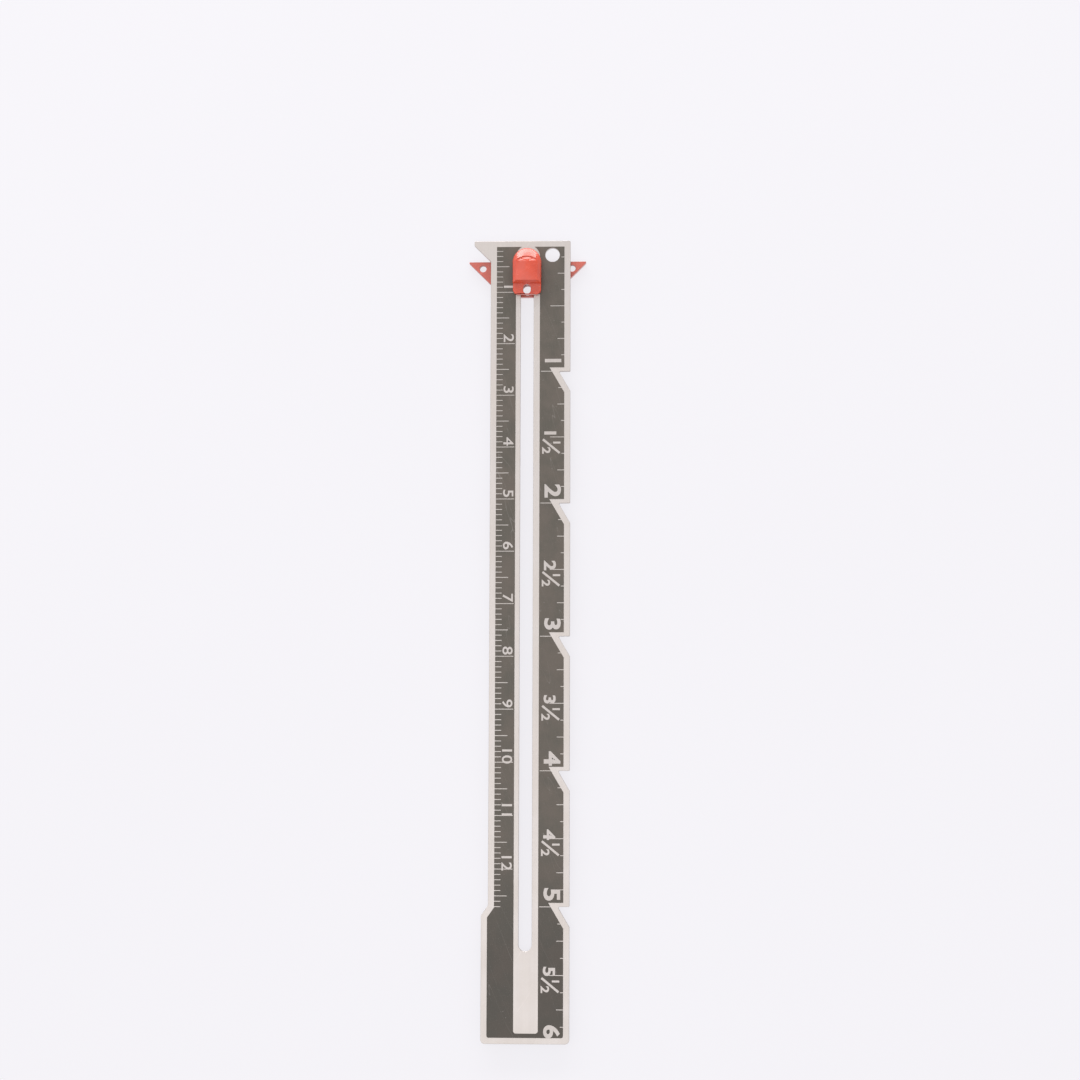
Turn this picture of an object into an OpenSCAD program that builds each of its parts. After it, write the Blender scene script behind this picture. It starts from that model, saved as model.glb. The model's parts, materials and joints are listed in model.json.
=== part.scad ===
/* [Blade] */
// Length of the blade, from the zero end to the tail end
blade_len = 152.4; // [120:0.1:220]
// Thickness of the aluminium sheet
blade_t = 1; // [0.7:0.05:2]
// From the slot's centre line to the stepped edge, and to the tail's plain edge
stepped_half = 8.3; // [7.6:0.05:12]
// How far the plain edge is set back above the tail
plain_setback = 1.3; // [0.4:0.05:1.8]
// Length of the full-width tail below the set-back edge
tail_len = 23.75; // [10:0.05:34]
// Length of the sloping shoulder between the set-back edge and the tail
shoulder_len = 1.85; // [0.5:0.05:4]
// Radius of the tail's two outer corners
tail_corner_r = 0.8; // [0.2:0.05:2]
// Radius that the stamping leaves at every other corner of the outline
stamp_r = 0.2; // [0.05:0.05:0.25]

/* [Hook] */
// How far the hook stands out past the set-back edge
hook_reach = 3.2; // [1:0.05:5]
// Height of the hook's blunt nose
hook_nose = 0.85; // [0.3:0.05:2]
// Height of the hook's sloping underside
hook_drop = 3.15; // [1:0.05:8]

/* [Steps] */
// Distance between the steps in the edge, one inch
inch = 25.4; // [20:0.1:30]
// Depth of each step
step_depth = 2.2; // [0.6:0.05:3]
// Length of the slope that brings the edge back out after a step
step_slope = 3.75; // [1:0.05:10]

/* [Slot and hole] */
// Width of the slot that the slider runs in
slot_w = 2.5; // [1.8:0.05:3.5]
// Metal left between the zero end and the slot
slot_head = 1.85; // [1.2:0.05:8]
// Metal left between the slot and the tail end
slot_tail = 17.1; // [8:0.1:30]
// Diameter of the compass hole near the zero end
hole_d = 2.8; // [1.5:0.05:3.2]
// Compass hole, from the stepped edge
hole_in = 3.45; // [3.4:0.05:3.8]
// Compass hole, from the zero end
hole_drop = 2.75; // [2:0.05:12]

/* [Printed scales] */
// Thickness of the printed coat
print_t = 0.05; // [0.03:0.01:0.2]
// Bare metal left between the print and the blade's long edges
side_margin = 1.15; // [0.5:0.05:1.8]
// Bare metal left above the print and below it
end_margin = 1.15; // [0.5:0.05:2]
// Bare metal left above the print's own step at each inch
step_margin = 0.75; // [0.3:0.05:1.5]
// Bare metal left between the slot and the centimetre scale
cm_margin = 0.92; // [0.4:0.01:1.6]
// Bare metal left between the slot and the inch scale
inch_margin = 1.2; // [0.4:0.01:1.6]
// Width of the printed bar that joins the two scales at the tail end
tail_bar = 0.8; // [0.4:0.05:3]
// Width of each bare graduation line
line_w = 0.14; // [0.1:0.01:0.4]
// Length of a millimetre line
mm_line = 1.2; // [0.4:0.05:1.4]
// Length of a five-millimetre line
five_line = 2.4; // [1.5:0.05:2.6]
// Length of an eighth-inch line
eighth_line = 0.6; // [0.3:0.05:0.8]
// Length of a quarter-inch line
quarter_line = 1.3; // [0.9:0.05:1.5]
// Length of a half-inch line
half_line = 2.7; // [1.6:0.05:3]
// Print left whole beside the slot where a line crosses its scale
line_stop = 0.2; // [0.1:0.05:0.5]

/* [Slider] */
// Play of the slider in the slot, each way
slide_play = 0.1; // [0.05:0.01:0.2]
// Gap between the slider and the slot's upper end, where it is parked
park_gap = 0.15; // [0.1:0.05:1]
// Height of the knob above the print
knob_h = 2.4; // [2.1:0.05:4]
// Width of the knob
knob_w = 5.45; // [4.2:0.05:7]
// Length of the knob's raised body
knob_len = 6.8; // [6:0.05:12]
// How far the knob's round end overhangs its key
knob_lip = 0.3; // [0.1:0.05:0.8]
// Width of the bevel round the knob's top
bevel_w = 1.05; // [0.4:0.05:1.6]
// Height of the bevel round the knob's top
bevel_h = 0.58; // [0.3:0.01:0.7]
// Rise of the crown over the knob's flat
crown_rise = 0.22; // [0.05:0.01:0.3]
// Length of the flat tab below the knob
tab_len = 2.1; // [2.1:0.05:5]
// Thickness of the flat tab
tab_t = 0.95; // [0.5:0.05:1]
// Width of the sight hole through the tab
sight_w = 1.45; // [0.8:0.05:2.2]
// Length of the sight hole through the tab
sight_len = 1.9; // [1.5:0.05:1.95]

/* [Cross plate] */
// Span of the plate, from wing tip to wing tip
plate_span = 22.5; // [21:0.1:30]
// Thickness of the plate
plate_t = 1.2; // [0.8:0.05:2]
// Depth of the plate along the blade
plate_depth = 6.9; // [6.3:0.05:9]
// The plate's measuring edge, from the knob's round end
plate_drop = 2.15; // [1.8:0.05:2.8]
// Diameter of the pin hole in each wing
wing_hole_d = 1.3; // [0.8:0.05:1.5]
// Pin holes in the wings, from wing tip to hole
wing_hole_in = 2.65; // [2.55:0.05:3.6]
// Pin holes in the wings, from the measuring edge
wing_hole_drop = 1.3; // [1.1:0.05:1.5]
// Diameter of the pivot hole on the centre line
pivot_d = 1.9; // [1:0.05:1.95]
// Diameter of the two pegs that hold the knob to the plate
peg_d = 1.1; // [0.6:0.05:1.3]
// Gap round each peg
peg_gap = 0.02; // [0.01:0.01:0.05]

/* [Hidden] */
$fn = 64;
over = 1;
top_y = blade_len / 2;
end_room = step_slope + end_margin;
tail_y = -top_y;
plain_half = stepped_half - plain_setback;
shoulder_y = tail_y + tail_len + shoulder_len;
step_count = floor((blade_len - end_room) / inch);

// Heights, from the underside of the cross plate
blade_z = plate_t + slide_play;
print_z = blade_z + blade_t;
knob_z = print_z + print_t + slide_play;

// The slot, with round ends
slot_r = slot_w / 2;
slot_top_y = top_y - slot_head - slot_r;
slot_end_y = tail_y + slot_tail + slot_r;
hole_x = stepped_half - hole_in;

// The print's outline follows the blade's at the margins
print_top_y = top_y - end_margin;
print_end_y = tail_y + end_margin;
cm_inner = slot_r + cm_margin;
inch_inner = slot_r + inch_margin;
band_r = (cm_inner + inch_inner) / 2;
band_x = (inch_inner - cm_inner) / 2;
step_run = norm([step_depth, step_slope]);
margin_shift = side_margin * step_run / step_slope;
step_print_len = step_slope * (step_depth - side_margin + margin_shift) / step_depth;
step_print_x = stepped_half - step_depth - margin_shift - step_depth * step_margin / step_slope;
shoulder_run = norm([plain_setback, shoulder_len]);
shoulder_drop = side_margin * (shoulder_run - shoulder_len) / plain_setback;
cm_edge = plain_half - side_margin;
inch_edge = stepped_half - side_margin;

// The graduations
mm_count = floor(top_y - shoulder_y + shoulder_drop - line_w / 2);
eighth = inch / 8;
eighth_count = floor((blade_len - end_margin - tail_bar) / eighth);

// The slider, parked at the slot's upper end
key_r = slot_r - slide_play;
key_top_y = slot_top_y + slot_r - park_gap;
knob_r = knob_w / 2;
skirt_h = knob_h - crown_rise - bevel_h;
knob_top_y = key_top_y + knob_lip;
knob_mid_y = knob_top_y - knob_r;
knob_end_y = knob_top_y - knob_len;
tab_end_y = knob_end_y - tab_len;
sight_y = (knob_end_y + tab_end_y) / 2;
plate_top_y = knob_top_y - plate_drop;
plate_end_y = plate_top_y - plate_depth;
peg_top_y = plate_top_y - peg_d;
peg_low_y = knob_end_y + peg_d;
tip_blunt = 0.25;
moulded_r = 0.1;
tab_corner_r = 0.9;

// How far down the blade a place lies, counted in inches from the last step
function past_step(s) = s - inch * floor(s / inch);

// The right edge of the print at a distance s down from the zero end
function print_edge(s) =
    s < inch || past_step(s) > step_print_len
        ? inch_edge
        : min(inch_edge, stepped_half - step_depth - margin_shift
              + step_depth * past_step(s) / step_slope);

// The waste outside a rounded corner that sits at the origin, its inside towards +X and +Y
module corner_waste(r) {
    difference() {
        translate([-over, -over]) square(r + over);
        translate([r, r]) circle(r = r);
    }
}

// Rounds every corner of an outline, outer and inner ones alike
module softened(r) {
    offset(r = r, $fn = 24) offset(r = -2 * r, $fn = 24) offset(r = r, $fn = 24) children();
}

// A straight slot with round ends, between two heights on the centre line
module round_slot(r, y_low, y_high) {
    translate([-r, y_low]) square([2 * r, y_high - y_low]);
    for (y = [y_low, y_high])
        translate([0, y]) circle(r = r);
}

// Steps along one edge, from the tail up: each slopes in and then steps square out again
function step_points(edge_x, inner_x, slope, lift) = [
    for (k = [step_count:-1:1])
        each [[edge_x, top_y - k * inch - slope],
              [inner_x, top_y - k * inch + lift],
              [edge_x, top_y - k * inch + lift]]
];

module blade_outline() {
    hook_x = -plain_half - hook_reach;
    difference() {
        softened(stamp_r) polygon(concat(
            [[hook_x, top_y],
             [hook_x, top_y - hook_nose],
             [-plain_half, top_y - hook_nose - hook_drop],
             [-plain_half, shoulder_y],
             [-stepped_half, shoulder_y - shoulder_len],
             [-stepped_half, tail_y],
             [stepped_half, tail_y]],
            step_points(stepped_half, stepped_half - step_depth, step_slope, 0),
            [[stepped_half, top_y]]));
        for (side = [0, 1])
            mirror([side, 0]) translate([-stepped_half, tail_y]) corner_waste(tail_corner_r);
    }
}

module blade() {
    color([0.81, 0.8, 0.79])
        translate([0, 0, blade_z])
            linear_extrude(blade_t)
                difference() {
                    blade_outline();
                    round_slot(slot_r, slot_end_y, slot_top_y);
                    translate([hole_x, top_y - hole_drop]) circle(d = hole_d);
                }
}

// The bare band round the slot, which runs on down to the bar at the tail end
module bare_band() {
    band_corner_r = 0.5;
    difference() {
        union() {
            translate([band_x, slot_top_y]) circle(r = band_r);
            translate([-cm_inner, print_end_y + tail_bar])
                square([2 * band_r, slot_top_y - print_end_y - tail_bar]);
        }
        for (side = [0, 1])
            translate([band_x, print_end_y + tail_bar])
                mirror([side, 0]) translate([-band_r, 0]) corner_waste(band_corner_r);
    }
}

// The millimetre lines, longer at every fifth and nearly across the scale at every tenth
module cm_lines() {
    for (k = [1:mm_count]) {
        reach = k % 10 == 0 ? cm_edge - cm_inner - line_stop : k % 5 == 0 ? five_line : mm_line;
        translate([-cm_edge - over, top_y - k - line_w / 2]) square([over + reach, line_w]);
    }
}

// The eighth-inch lines, each starting at the print's own edge
module inch_lines() {
    for (k = [1:eighth_count]) {
        s = k * eighth;
        whole = k % 8 == 0;
        reach = k % 4 == 0 ? half_line : k % 2 == 0 ? quarter_line : eighth_line;
        from_x = whole ? inch_inner + line_stop : print_edge(s) - reach;
        translate([from_x, top_y - s - line_w / 2])
            square([stepped_half - from_x, line_w]);
    }
}

module cm_scale() {
    tail_edge = stepped_half - side_margin;
    color([0.29, 0.27, 0.25])
        translate([0, 0, print_z])
            linear_extrude(print_t)
                difference() {
                    polygon([
                        [-cm_edge, print_top_y],
                        [-cm_edge, shoulder_y - shoulder_drop],
                        [-tail_edge, shoulder_y - shoulder_len - shoulder_drop],
                        [-tail_edge, print_end_y],
                        [-cm_inner, print_end_y],
                        [-cm_inner, slot_top_y],
                        [0, slot_top_y],
                        [0, print_top_y]]);
                    bare_band();
                    cm_lines();
                    translate([-tail_edge, print_end_y]) corner_waste(tail_corner_r / 2);
                }
}

module inch_scale() {
    color([0.29, 0.27, 0.25])
        translate([0, 0, print_z])
            linear_extrude(print_t)
                difference() {
                    polygon(concat(
                        [[0, print_top_y],
                         [0, print_end_y + tail_bar + over],
                         [-cm_inner, print_end_y + tail_bar + over],
                         [-cm_inner, print_end_y],
                         [inch_edge, print_end_y]],
                        step_points(inch_edge, step_print_x, step_print_len, step_margin),
                        [[inch_edge, print_top_y]]));
                    bare_band();
                    inch_lines();
                    translate([hole_x, top_y - hole_drop]) circle(d = hole_d);
                    mirror([1, 0])
                        translate([-inch_edge, print_end_y]) corner_waste(tail_corner_r / 2);
                }
}

// Half of the knob's section: upright skirt, bevel, and a crown that is an arc
function knob_section() = concat(
    [[0, 0], [knob_r, 0], [knob_r, skirt_h]],
    [for (k = [0:6])
        let (half = knob_r - bevel_w, x = half * (1 - k / 6))
            [x, knob_h - crown_rise * pow(x / half, 2)]]
);

// The raised body: a bullet outline with its round end at the top and a bevel at its lower end
module knob_body() {
    translate([0, knob_mid_y, 0])
        rotate_extrude(angle = 180) polygon(knob_section());
    difference() {
        translate([0, knob_mid_y, 0])
            rotate([90, 0, 0])
                linear_extrude(knob_mid_y - knob_end_y)
                    for (side = [0, 1])
                        mirror([side, 0]) polygon(knob_section());
        translate([knob_w, knob_end_y, skirt_h])
            rotate([0, -90, 0])
                linear_extrude(2 * knob_w)
                    polygon([[0, -over],
                             [0, 0],
                             [knob_h, knob_h * bevel_w / bevel_h],
                             [knob_h, -over]]);
    }
}

// The flat tab, with round corners and the sight hole
module knob_tab() {
    sight_r = sight_w / 2;
    linear_extrude(tab_t)
        difference() {
            translate([-knob_r, tab_end_y]) square([knob_w, tab_len + knob_r]);
            for (side = [0, 1])
                mirror([side, 0]) translate([-knob_r, tab_end_y]) corner_waste(tab_corner_r);
            translate([0, sight_y]) round_slot(sight_r, sight_r - sight_len / 2, sight_len / 2 - sight_r);
        }
}

module slider_knob() {
    key_h = knob_z - plate_t;
    color([0.87, 0.31, 0.25]) {
        translate([0, 0, knob_z]) {
            knob_body();
            difference() {
                knob_tab();
                translate([-knob_w, knob_end_y + over, -over])
                    cube([2 * knob_w, knob_w, tab_t + 2 * over]);
            }
        }
        translate([0, 0, plate_t])
            linear_extrude(key_h)
                round_slot(key_r, knob_end_y + key_r, key_top_y - key_r);
        for (y = [peg_top_y, peg_low_y])
            translate([0, y, 0]) cylinder(h = plate_t, d = peg_d);
    }
}

// The cross plate behind the blade: one straight measuring edge and two winged ends
module slider_plate() {
    tip = plate_span / 2;
    color([0.8, 0.28, 0.23])
        linear_extrude(plate_t)
            difference() {
                softened(moulded_r) polygon([
                    [-tip, plate_top_y],
                    [-tip, plate_top_y - tip_blunt],
                    [-tip - tip_blunt + plate_depth, plate_end_y],
                    [tip + tip_blunt - plate_depth, plate_end_y],
                    [tip, plate_top_y - tip_blunt],
                    [tip, plate_top_y]]);
                for (side = [-1, 1])
                    translate([side * (tip - wing_hole_in), plate_top_y - wing_hole_drop])
                        circle(d = wing_hole_d);
                translate([0, knob_end_y - pivot_d / 2]) circle(d = pivot_d);
                for (y = [peg_top_y, peg_low_y])
                    translate([0, y]) circle(d = peg_d + 2 * peg_gap);
            }
}

blade();
cm_scale();
inch_scale();
slider_plate();
slider_knob();
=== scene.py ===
"""A sewing gauge: a stamped aluminium blade with printed scales, and a red slider in its slot."""

import json
import math

import bmesh
import bpy
from bpy.props import FloatProperty, FloatVectorProperty, PointerProperty
from bpy.types import Operator, Panel, PropertyGroup
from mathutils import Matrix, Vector

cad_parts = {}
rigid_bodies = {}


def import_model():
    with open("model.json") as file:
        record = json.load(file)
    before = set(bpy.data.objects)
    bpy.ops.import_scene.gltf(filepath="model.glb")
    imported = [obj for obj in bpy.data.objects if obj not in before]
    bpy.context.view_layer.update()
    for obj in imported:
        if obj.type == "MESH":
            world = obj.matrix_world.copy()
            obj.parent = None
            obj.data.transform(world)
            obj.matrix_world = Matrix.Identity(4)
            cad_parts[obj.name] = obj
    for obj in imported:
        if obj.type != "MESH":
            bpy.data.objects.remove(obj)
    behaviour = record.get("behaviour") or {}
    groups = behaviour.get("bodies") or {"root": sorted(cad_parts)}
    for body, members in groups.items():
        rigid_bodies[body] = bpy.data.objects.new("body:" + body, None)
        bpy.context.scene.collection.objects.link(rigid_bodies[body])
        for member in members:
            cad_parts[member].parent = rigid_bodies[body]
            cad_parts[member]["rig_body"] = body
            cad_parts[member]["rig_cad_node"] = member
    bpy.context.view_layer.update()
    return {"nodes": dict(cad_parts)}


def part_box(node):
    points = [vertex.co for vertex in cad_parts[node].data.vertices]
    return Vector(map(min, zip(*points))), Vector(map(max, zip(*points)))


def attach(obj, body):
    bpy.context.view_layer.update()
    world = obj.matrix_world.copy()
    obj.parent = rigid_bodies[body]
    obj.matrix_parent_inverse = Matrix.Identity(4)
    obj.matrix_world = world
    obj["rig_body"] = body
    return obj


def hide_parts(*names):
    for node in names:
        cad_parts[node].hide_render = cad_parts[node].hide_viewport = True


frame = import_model()

bl_info = {
    "name": "Sewing gauge",
    "version": (1, 0, 0),
    "blender": (4, 5, 0),
    "location": "3D View > Sidebar > Sewing gauge",
    "description": "Builds the pieces of a sewing gauge on its CAD frame, and their stage",
    "category": "Object",
}

# Corners of the CAD nodes, in metres: lowest first, highest second
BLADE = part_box("blade")
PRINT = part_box("inch_scale")
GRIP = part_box("slider_knob")
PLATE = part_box("slider_plate")

# Both scales start at the blade's upper end
ZERO_Y = BLADE[1].y
INCH = 0.0254
CENTIMETRE = 0.01

# Places closer than this count as one (this and all lengths below are in metres too)
HAIR = 1e-6
# How squarely a face or an edge has to point one way to count as doing so
SQUARE = 0.999
# How far a cutter reaches past the piece it cuts, and the tab into the body
PAST = 0.001
# How far the key reaches into the body
KEY_OVERLAP = 0.0003

# Small roundings of the grip, and how much wider than its peg each hole is
SKIRT_ROUND = 0.00022
BODY_CORNER_ROUND = 0.00025
TAB_ROUND = 0.00012
PEG_ROUND = 0.0001
PEG_ROOM = 0.00004

# Rings of the grip's crown, from its border inwards, as shares of its half width
CROWN_RINGS = (1, 0.93, 0.86, 0.78, 0.69, 0.58, 0.45, 0.3, 0.15, 0.04)
# Depth of the crease at each ring inside the border, as a share of its full depth
CREASE_SHARES = (0.6, 0.9, 1.0, 0.92, 0.78, 0.6, 0.4, 0.2, 0.05)
# Where each layer of the crease starts, from the side (0) to the tip of the round end (1)
CREASE_STARTS = (0.1, 0.2, 0.3, 0.4, 0.5, 0.6)

# Where the numbers stand across the blade, and how far above its line each one has its middle
CM_COLUMN = -0.0035
INCH_COLUMN = 0.005
CM_RISE = 0.00107
INCH_RISE = 0.00232
FIRST_INCH_RISE = 0.00205
# The parts of a half inch's label: place across the blade, and distance below the half inch line
HALF_WHOLE = (0.0045, -0.00075)
HALF_ONE = (0.00575, 0.0011)
HALF_TWO = (0.00375, 0.0026)
STROKE_START = (0.0031, 0.00048)
STROKE_END = (0.0063, 0.0031)
STROKE_WIDTH = 0.00042
# Height of a fraction's 1, as a share of its 2
ONE_SHARE = 0.88

# The two lights: width and height, place, and the point that each one faces
OVERHEAD_LIGHT = ((1.0, 0.8), (-0.2, -0.19, 1.0), (0, -0.02, 0))
STRIP_LIGHT = ((1.2, 0.22), (-0.1, 0.75, 0.28), (0, 0.07, 0.003))
# The camera, as found from the inch lines in the photo
CAMERA_PLACE = (0.028, -0.034224, 0.5)
CAMERA_TURN = (0.105183, 0.05072, -0.002389)
SENSOR_WIDTH = 36

# Sockets of a mix node that carry colours, because others there have the same names
FIRST_COLOUR, SECOND_COLOUR, MIXED_COLOUR = 6, 7, 2


# Sizes and colours that a user would change

class BladeSizes(PropertyGroup):
    edge_round: FloatProperty(
        name="Edge rounding",
        description="Width of the rounding that stamping leaves along every edge",
        default=0.00007, min=0.0, max=0.0003, precision=5, unit="LENGTH", subtype="DISTANCE")


class GripSizes(PropertyGroup):
    body_length: FloatProperty(
        name="Body length", description="Length of the raised body, from its round end",
        default=0.0068, min=0.004, max=0.02, precision=5, unit="LENGTH", subtype="DISTANCE")
    base_height: FloatProperty(
        name="Base height", description="Height of the body's underside over the table",
        default=0.00245, min=0.001, max=0.01, precision=5, unit="LENGTH", subtype="DISTANCE")
    bevel_width: FloatProperty(
        name="Bevel width", description="Width of the sloping border round the body's top",
        default=0.00065, min=0.0002, max=0.002, precision=5, unit="LENGTH", subtype="DISTANCE")
    bevel_height: FloatProperty(
        name="Bevel height", description="Height of the sloping border round the body's top",
        default=0.0007, min=0.0001, max=0.002, precision=5, unit="LENGTH", subtype="DISTANCE")
    end_reach: FloatProperty(
        name="End reach",
        description="How far the top keeps its reach at the round end; less widens the slope",
        default=0.5, min=0.3, max=1.0, precision=2)
    low_reach: FloatProperty(
        name="Low reach", description="The same at the body's lower end, over the tab",
        default=1.06, min=0.4, max=1.1, precision=2)
    crown_rise: FloatProperty(
        name="Crown rise", description="How far the top swells over the inside of its border",
        default=0.00022, min=0.0, max=0.001, precision=5, unit="LENGTH", subtype="DISTANCE")
    crease_depth: FloatProperty(
        name="Crease depth",
        description="Depth of the shallow crease inside the border's round end",
        default=0.0002, min=0.0, max=0.0005, precision=5, unit="LENGTH", subtype="DISTANCE")
    tab_thickness: FloatProperty(
        name="Tab thickness", description="Thickness of the flat tab below the body",
        default=0.00095, min=0.0003, max=0.003, precision=5, unit="LENGTH", subtype="DISTANCE")
    tab_inset: FloatProperty(
        name="Tab inset",
        description="How far the tab's sides and underside stand inside the body's",
        default=0.00003, min=0.00001, max=0.0005, precision=5, unit="LENGTH", subtype="DISTANCE")
    tab_corner: FloatProperty(
        name="Tab corner radius", description="Radius of the tab's two outer corners",
        default=0.0009, min=0.0001, max=0.002, precision=5, unit="LENGTH", subtype="DISTANCE")
    sight_width: FloatProperty(
        name="Sight hole width", description="Width of the sight hole through the tab",
        default=0.00145, min=0.0005, max=0.003, precision=5, unit="LENGTH", subtype="DISTANCE")
    sight_length: FloatProperty(
        name="Sight hole length", description="Length of the sight hole through the tab",
        default=0.0019, min=0.0006, max=0.003, precision=5, unit="LENGTH", subtype="DISTANCE")
    key_width: FloatProperty(
        name="Key width", description="Width of the key that runs in the blade's slot",
        default=0.0023, min=0.001, max=0.004, precision=5, unit="LENGTH", subtype="DISTANCE")
    lip: FloatProperty(
        name="Lip", description="How far the round end overhangs the key",
        default=0.0003, min=0.0, max=0.001, precision=5, unit="LENGTH", subtype="DISTANCE")
    peg: FloatProperty(
        name="Peg diameter",
        description="Diameter of the two pegs that hold the grip to the cross plate",
        default=0.0011, min=0.0005, max=0.002, precision=5, unit="LENGTH", subtype="DISTANCE")


class PlateSizes(PropertyGroup):
    tip_blunt: FloatProperty(
        name="Tip height", description="Height of the blunt tip at the end of each wing",
        default=0.00025, min=0.0, max=0.001, precision=5, unit="LENGTH", subtype="DISTANCE")
    pin_hole: FloatProperty(
        name="Pin hole diameter", description="Diameter of the pin hole in each wing",
        default=0.0013, min=0.0004, max=0.003, precision=5, unit="LENGTH", subtype="DISTANCE")
    pin_in: FloatProperty(
        name="Pin hole from tip", description="Distance from a wing's tip to its pin hole",
        default=0.00265, min=0.001, max=0.005, precision=5, unit="LENGTH", subtype="DISTANCE")
    pin_drop: FloatProperty(
        name="Pin hole from edge", description="Distance from the measuring edge to the pin holes",
        default=0.0013, min=0.0005, max=0.005, precision=5, unit="LENGTH", subtype="DISTANCE")
    pivot_hole: FloatProperty(
        name="Pivot hole diameter", description="Diameter of the hole on the centre line",
        default=0.0019, min=0.0005, max=0.003, precision=5, unit="LENGTH", subtype="DISTANCE")
    edge_round: FloatProperty(
        name="Edge rounding", description="Rounding of the moulded edges",
        default=0.0001, min=0.0, max=0.0004, precision=5, unit="LENGTH", subtype="DISTANCE")


class NumberSizes(PropertyGroup):
    lift: FloatProperty(
        name="Lift", description="How far a number stands over the print",
        default=0.00001, min=0.000001, max=0.0001, precision=6, unit="LENGTH", subtype="DISTANCE")
    cm_height: FloatProperty(
        name="Centimetre number height", description="Height of the centimetre numbers",
        default=0.00195, min=0.0005, max=0.004, precision=5, unit="LENGTH", subtype="DISTANCE")
    inch_height: FloatProperty(
        name="Inch number height", description="Height of the inch numbers",
        default=0.00315, min=0.001, max=0.006, precision=5, unit="LENGTH", subtype="DISTANCE")
    half_height: FloatProperty(
        name="Half inch number height",
        description="Height of the whole number before a fraction",
        default=0.0023, min=0.001, max=0.006, precision=5, unit="LENGTH", subtype="DISTANCE")
    fraction_height: FloatProperty(
        name="Fraction height", description="Height of the two small digits of a fraction",
        default=0.0016, min=0.0005, max=0.004, precision=5, unit="LENGTH", subtype="DISTANCE")
    breadth: FloatProperty(
        name="Breadth",
        description="How much the numbers are drawn out in the direction they read",
        default=1.25, min=0.8, max=1.6, precision=2)
    weight: FloatProperty(
        name="Stroke weight",
        description="How much the strokes are thickened, as a share of the number's size",
        default=0.03, min=0.0, max=0.05, precision=3)
    cm_weight: FloatProperty(
        name="Fine stroke weight",
        description="The same for the finer centimetre numbers and the first inch",
        default=0.01, min=0.0, max=0.05, precision=3)


class Finishes(PropertyGroup):
    metal: FloatVectorProperty(
        name="Metal", description="Colour of the brushed aluminium", subtype="COLOR", size=3,
        default=(0.59, 0.549, 0.53), min=0.0, max=1.0)
    ink: FloatVectorProperty(
        name="Print", description="Colour of the printed coat", subtype="COLOR", size=3,
        default=(0.087, 0.074, 0.0605), min=0.0, max=1.0)
    plastic: FloatVectorProperty(
        name="Grip plastic", description="Colour of the moulded grip", subtype="COLOR", size=3,
        default=(0.6, 0.052, 0.02), min=0.0, max=1.0)
    plate_plastic: FloatVectorProperty(
        name="Plate plastic",
        description="Colour of the moulded cross plate, a little duller than the grip",
        subtype="COLOR", size=3, default=(0.51, 0.085, 0.06), min=0.0, max=1.0)


class StageSettings(PropertyGroup):
    floor: FloatVectorProperty(
        name="Floor", description="Colour of the floor", subtype="COLOR", size=3,
        default=(0.13, 0.128, 0.1335), min=0.0, max=1.0)
    under_light: FloatProperty(
        name="Floor glow", description="Light that comes up through the pale floor",
        default=0.755, min=0.0, max=2.0)
    sky: FloatProperty(
        name="Tent light", description="Strength of the even light from all round",
        default=0.8, min=0.0, max=5.0)
    overhead: FloatProperty(
        name="Overhead light", description="Power of the soft light over the zero end",
        default=2.2, min=0.0, max=500.0, unit="POWER")
    strip: FloatProperty(
        name="Low strip light", description="Power of the low strip beyond the zero end",
        default=6.8, min=0.0, max=500.0, unit="POWER")
    lens: FloatProperty(
        name="Lens", description="Focal length of the camera",
        default=87.853, min=20.0, max=300.0, subtype="DISTANCE_CAMERA")


class SewingGauge(PropertyGroup):
    blade: PointerProperty(type=BladeSizes)
    grip: PointerProperty(type=GripSizes)
    plate: PointerProperty(type=PlateSizes)
    numbers: PointerProperty(type=NumberSizes)
    finishes: PointerProperty(type=Finishes)
    stage: PointerProperty(type=StageSettings)


# Small modelling steps

def only(piece=None):
    """Object mode, with at most this one piece selected."""
    if bpy.context.object and bpy.context.object.mode != "OBJECT":
        bpy.ops.object.mode_set(mode="OBJECT")
    bpy.ops.object.select_all(action="DESELECT")
    if piece:
        piece.select_set(True)
        bpy.context.view_layer.objects.active = piece


def open_mesh(piece, kind="FACE"):
    """Edit mode on this piece, with nothing selected."""
    only(piece)
    bpy.ops.object.mode_set(mode="EDIT")
    bpy.ops.mesh.select_mode(type=kind)
    bpy.ops.mesh.select_all(action="DESELECT")


def close_mesh():
    """Back to object mode."""
    bpy.ops.object.mode_set(mode="OBJECT")


def pick(piece, kind, wanted):
    """Selects the faces, edges or corners that pass the test, in edit mode."""
    bpy.ops.mesh.select_mode(type=kind)
    bpy.ops.mesh.select_all(action="DESELECT")
    mesh = bmesh.from_edit_mesh(piece.data)
    found = {"FACE": mesh.faces, "EDGE": mesh.edges, "VERT": mesh.verts}[kind]
    chosen = [part for part in found if wanted(part)]
    if not chosen:
        raise RuntimeError(f"nothing to select on {piece.name}")
    for part in chosen:
        part.select_set(True)
    bmesh.update_edit_mesh(piece.data)


def near(a, b, room=2 * HAIR):
    """Whether two lengths are the same, but for rounding."""
    return abs(a - b) < room


def upright(edge):
    """Whether an edge runs straight up."""
    return abs((edge.verts[0].co - edge.verts[1].co).normalized().z) > SQUARE


def settle(piece):
    """Puts the piece's place into its mesh, so that its object sits at the origin."""
    only(piece)
    bpy.ops.object.transform_apply(location=True, rotation=True, scale=True)


def block(name, low, high):
    """A block between two corners."""
    only()
    middle = (Vector(low) + Vector(high)) / 2
    bpy.ops.mesh.primitive_cube_add(size=1, location=middle)
    piece = bpy.context.object
    piece.name = piece.data.name = name
    piece.scale = Vector(high) - Vector(low)
    settle(piece)
    return piece


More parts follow.
